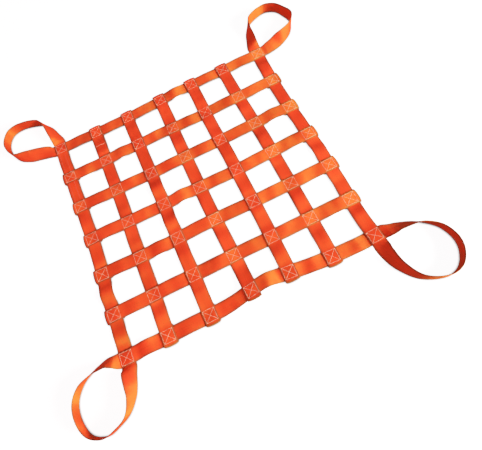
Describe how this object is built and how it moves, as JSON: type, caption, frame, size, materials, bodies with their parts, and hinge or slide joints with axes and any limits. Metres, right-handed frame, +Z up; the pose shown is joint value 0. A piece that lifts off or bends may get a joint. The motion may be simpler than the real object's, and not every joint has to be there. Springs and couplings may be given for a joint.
{
  "type": "cargo lifting net",
  "caption": "Cargo lifting net of flat woven webbing straps, crossed and sewn into open square meshes, with a hanging loop at each corner, laid open on the ground.",
  "frame": {"origin": "middle of the net, on the ground, on the underside of the middle long strap", "axes": "+X along the cross straps, +Y along the long straps, +Z up from the ground"},
  "size_m": [1.3277, 1.3171, 0.0511],
  "materials": {
    "webbing": "woven webbing, satin"
  },
  "bodies": {
    "root": {"border_left": "webbing", "border_right": "webbing", "border_front": "webbing", "border_back": "webbing", "long_strap_1": "webbing", "long_strap_2": "webbing", "long_strap_3": "webbing", "long_strap_4": "webbing", "long_strap_5": "webbing", "cross_strap_1": "webbing", "cross_strap_2": "webbing", "cross_strap_3": "webbing", "cross_strap_4": "webbing", "cross_strap_5": "webbing", "loop_back_left": "webbing", "loop_back_right": "webbing", "loop_front_right": "webbing", "loop_front_left": "webbing"}
  },
  "joints": []
}
